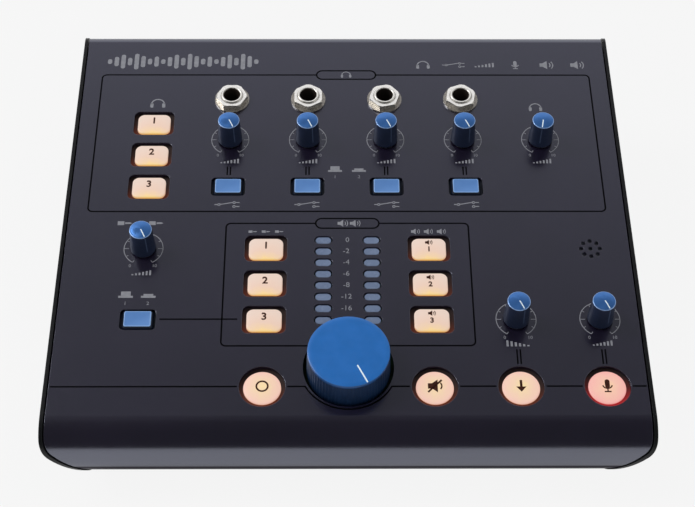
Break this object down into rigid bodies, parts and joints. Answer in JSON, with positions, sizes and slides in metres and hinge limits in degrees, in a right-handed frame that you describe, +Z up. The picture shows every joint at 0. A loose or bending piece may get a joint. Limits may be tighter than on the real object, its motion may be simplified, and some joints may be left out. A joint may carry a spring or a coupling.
{
  "type": "desktop studio monitor controller",
  "caption": "Wedge-shaped desktop audio controller with a large volume knob, level knobs, lit keys, headphone jacks and a level meter on its sloping panel.",
  "frame": {"origin": "centre of the bounding box's bottom, on the surface the feet stand on", "axes": "+X to the user's right, +Y away from the user, +Z up"},
  "size_m": [0.2156, 0.1994, 0.0595],
  "materials": {
    "panel_paint": "satin dark grey paint",
    "cheek_paint": "satin black paint",
    "rear_paint": "satin dark grey paint",
    "base_paint": "matte black paint",
    "foot_rubber": "matte black rubber",
    "screw_steel": "black zinc steel",
    "board_laminate": "green circuit laminate",
    "standoff_steel": "plain steel",
    "pot_metal": "plated steel can",
    "switch_plastic": "black plastic",
    "shaft_metal": "turned metal",
    "volume_anodised": "satin blue anodised",
    "knob_anodised": "brushed blue anodised top, dark side",
    "lit_cap": "translucent plastic, lit warm white",
    "lit_red_cap": "translucent plastic, lit red",
    "blue_cap": "blue plastic",
    "jack_plastic": "black plastic",
    "nickel": "bright nickel plate",
    "lens_plastic": "clear light pipe, unlit",
    "mic_metal": "capsule in its holder",
    "phono_metal": "nickel plate",
    "power_plastic": "black plastic",
    "rocker_plastic": "black plastic"
  },
  "bodies": {
    "housing": {"base_plate": "base_paint", "base_screws": "screw_steel", "board_standoffs": "standoff_steel", "control_board": "board_laminate", "dc_inlet": "power_plastic", "feet": "foot_rubber", "headphone_jacks": "jack_plastic", "headphone_nuts": "nickel", "headphone_washers": "nickel", "jack_board": "board_laminate", "key_switches": "switch_plastic", "latch_switches": "switch_plastic", "left_cheek": "cheek_paint", "meter_lenses": "lens_plastic", "potentiometers": "pot_metal", "power_switch_body": "power_plastic", "rca_sockets": "phono_metal", "rear_jack_nuts": "nickel", "rear_jacks": "jack_plastic", "rear_panel": "rear_paint", "right_cheek": "cheek_paint", "talkback_mic": "mic_metal", "top_shell": "panel_paint"},
    "cue_level_1_dial": {"cue_level_1_knob": "knob_anodised", "cue_level_1_shaft": "shaft_metal"},
    "cue_level_2_dial": {"cue_level_2_knob": "knob_anodised", "cue_level_2_shaft": "shaft_metal"},
    "cue_level_3_dial": {"cue_level_3_knob": "knob_anodised", "cue_level_3_shaft": "shaft_metal"},
    "cue_level_4_dial": {"cue_level_4_knob": "knob_anodised", "cue_level_4_shaft": "shaft_metal"},
    "cue_output_dial": {"cue_output_knob": "knob_anodised", "cue_output_shaft": "shaft_metal"},
    "aux_level_dial": {"aux_level_knob": "knob_anodised", "aux_level_shaft": "shaft_metal"},
    "dim_level_dial": {"dim_level_knob": "knob_anodised", "dim_level_shaft": "shaft_metal"},
    "talk_level_dial": {"talk_level_knob": "knob_anodised", "talk_level_shaft": "shaft_metal"},
    "volume_dial": {"volume_knob": "volume_anodised", "volume_shaft": "shaft_metal"},
    "cue_source_key_1": {"cue_source_key_1": "lit_cap"},
    "main_source_key_1": {"main_source_key_1": "lit_cap"},
    "speaker_key_1": {"speaker_key_1": "lit_cap"},
    "cue_source_key_2": {"cue_source_key_2": "lit_cap"},
    "main_source_key_2": {"main_source_key_2": "lit_cap"},
    "speaker_key_2": {"speaker_key_2": "lit_cap"},
    "cue_source_key_3": {"cue_source_key_3": "lit_cap"},
    "main_source_key_3": {"main_source_key_3": "lit_cap"},
    "speaker_key_3": {"speaker_key_3": "lit_cap"},
    "mono_key": {"mono_key": "lit_cap"},
    "mute_key": {"mute_key": "lit_cap"},
    "dim_key": {"dim_key": "lit_cap"},
    "talk_key": {"talk_key": "lit_red_cap"},
    "cue_source_switch_1": {"cue_source_switch_1": "blue_cap"},
    "cue_source_switch_2": {"cue_source_switch_2": "blue_cap"},
    "cue_source_switch_3": {"cue_source_switch_3": "blue_cap"},
    "cue_source_switch_4": {"cue_source_switch_4": "blue_cap"},
    "aux_source_switch": {"aux_source_switch": "blue_cap"},
    "power_rocker": {"power_rocker": "rocker_plastic"}
  },
  "joints": [
    {"name": "cue_level_1_turn", "type": "hinge", "parent": "housing", "child": "cue_level_1_dial", "pos_m": [-0.0459, 0.03521, 0.04647], "axis": [0, -0.1392, 0.9903], "range_deg": [0, 300]},
    {"name": "cue_level_2_turn", "type": "hinge", "parent": "housing", "child": "cue_level_2_dial", "pos_m": [-0.0153, 0.03521, 0.04647], "axis": [0, -0.1392, 0.9903], "range_deg": [0, 300]},
    {"name": "cue_level_3_turn", "type": "hinge", "parent": "housing", "child": "cue_level_3_dial", "pos_m": [0.0153, 0.03521, 0.04647], "axis": [0, -0.1392, 0.9903], "range_deg": [0, 300]},
    {"name": "cue_level_4_turn", "type": "hinge", "parent": "housing", "child": "cue_level_4_dial", "pos_m": [0.0459, 0.03521, 0.04647], "axis": [0, -0.1392, 0.9903], "range_deg": [0, 300]},
    {"name": "cue_output_turn", "type": "hinge", "parent": "housing", "child": "cue_output_dial", "pos_m": [0.0765, 0.03521, 0.04647], "axis": [0, -0.1392, 0.9903], "range_deg": [-300, 0]},
    {"name": "aux_level_turn", "type": "hinge", "parent": "housing", "child": "aux_level_dial", "pos_m": [-0.0765, -0.01728, 0.0391], "axis": [0, -0.1392, 0.9903], "range_deg": [0, 300]},
    {"name": "dim_level_turn", "type": "hinge", "parent": "housing", "child": "dim_level_dial", "pos_m": [0.0612, -0.04887, 0.03466], "axis": [0, -0.1392, 0.9903], "range_deg": [0, 300]},
    {"name": "talk_level_turn", "type": "hinge", "parent": "housing", "child": "talk_level_dial", "pos_m": [0.0918, -0.04887, 0.03466], "axis": [0, -0.1392, 0.9903], "range_deg": [0, 300]},
    {"name": "volume_turn", "type": "hinge", "parent": "housing", "child": "volume_dial", "pos_m": [0, -0.06897, 0.03183], "axis": [0, -0.1392, 0.9903], "range_deg": [0, 300]},
    {"name": "cue_source_key_1_press", "type": "slide", "parent": "housing", "child": "cue_source_key_1", "axis": [0, -0.1392, 0.9903], "range_m": [-0.001, 0], "stiffness_N_per_m": 800, "springref_m": 0.0004},
    {"name": "main_source_key_1_press", "type": "slide", "parent": "housing", "child": "main_source_key_1", "axis": [0, -0.1392, 0.9903], "range_m": [-0.001, 0], "stiffness_N_per_m": 800, "springref_m": 0.0004},
    {"name": "speaker_key_1_press", "type": "slide", "parent": "housing", "child": "speaker_key_1", "axis": [0, -0.1392, 0.9903], "range_m": [-0.001, 0], "stiffness_N_per_m": 800, "springref_m": 0.0004},
    {"name": "cue_source_key_2_press", "type": "slide", "parent": "housing", "child": "cue_source_key_2", "axis": [0, -0.1392, 0.9903], "range_m": [-0.001, 0], "stiffness_N_per_m": 800, "springref_m": 0.0004},
    {"name": "main_source_key_2_press", "type": "slide", "parent": "housing", "child": "main_source_key_2", "axis": [0, -0.1392, 0.9903], "range_m": [-0.001, 0], "stiffness_N_per_m": 800, "springref_m": 0.0004},
    {"name": "speaker_key_2_press", "type": "slide", "parent": "housing", "child": "speaker_key_2", "axis": [0, -0.1392, 0.9903], "range_m": [-0.001, 0], "stiffness_N_per_m": 800, "springref_m": 0.0004},
    {"name": "cue_source_key_3_press", "type": "slide", "parent": "housing", "child": "cue_source_key_3", "axis": [0, -0.1392, 0.9903], "range_m": [-0.001, 0], "stiffness_N_per_m": 800, "springref_m": 0.0004},
    {"name": "main_source_key_3_press", "type": "slide", "parent": "housing", "child": "main_source_key_3", "axis": [0, -0.1392, 0.9903], "range_m": [-0.001, 0], "stiffness_N_per_m": 800, "springref_m": 0.0004},
    {"name": "speaker_key_3_press", "type": "slide", "parent": "housing", "child": "speaker_key_3", "axis": [0, -0.1392, 0.9903], "range_m": [-0.001, 0], "stiffness_N_per_m": 800, "springref_m": 0.0004},
    {"name": "mono_key_press", "type": "slide", "parent": "housing", "child": "mono_key", "axis": [0, -0.1392, 0.9903], "range_m": [-0.001, 0], "stiffness_N_per_m": 800, "springref_m": 0.0004},
    {"name": "mute_key_press", "type": "slide", "parent": "housing", "child": "mute_key", "axis": [0, -0.1392, 0.9903], "range_m": [-0.001, 0], "stiffness_N_per_m": 800, "springref_m": 0.0004},
    {"name": "dim_key_press", "type": "slide", "parent": "housing", "child": "dim_key", "axis": [0, -0.1392, 0.9903], "range_m": [-0.001, 0], "stiffness_N_per_m": 800, "springref_m": 0.0004},
    {"name": "talk_key_press", "type": "slide", "parent": "housing", "child": "talk_key", "axis": [0, -0.1392, 0.9903], "range_m": [-0.001, 0], "stiffness_N_per_m": 800, "springref_m": 0.0004},
    {"name": "cue_source_switch_1_press", "type": "slide", "parent": "housing", "child": "cue_source_switch_1", "axis": [0, -0.1392, 0.9903], "range_m": [-0.0018, 0], "stiffness_N_per_m": 600, "springref_m": 0.0005},
    {"name": "cue_source_switch_2_press", "type": "slide", "parent": "housing", "child": "cue_source_switch_2", "axis": [0, -0.1392, 0.9903], "range_m": [-0.0018, 0], "stiffness_N_per_m": 600, "springref_m": 0.0005},
    {"name": "cue_source_switch_3_press", "type": "slide", "parent": "housing", "child": "cue_source_switch_3", "axis": [0, -0.1392, 0.9903], "range_m": [-0.0018, 0], "stiffness_N_per_m": 600, "springref_m": 0.0005},
    {"name": "cue_source_switch_4_press", "type": "slide", "parent": "housing", "child": "cue_source_switch_4", "axis": [0, -0.1392, 0.9903], "range_m": [-0.0018, 0], "stiffness_N_per_m": 600, "springref_m": 0.0005},
    {"name": "aux_source_switch_press", "type": "slide", "parent": "housing", "child": "aux_source_switch", "axis": [0, -0.1392, 0.9903], "range_m": [-0.0018, 0], "stiffness_N_per_m": 600, "springref_m": 0.0005},
    {"name": "power_tip", "type": "hinge", "parent": "housing", "child": "power_rocker", "pos_m": [-0.077, 0.09082, 0.03586], "axis": [0, 0, 1], "range_deg": [-14, 0]}
  ]
}
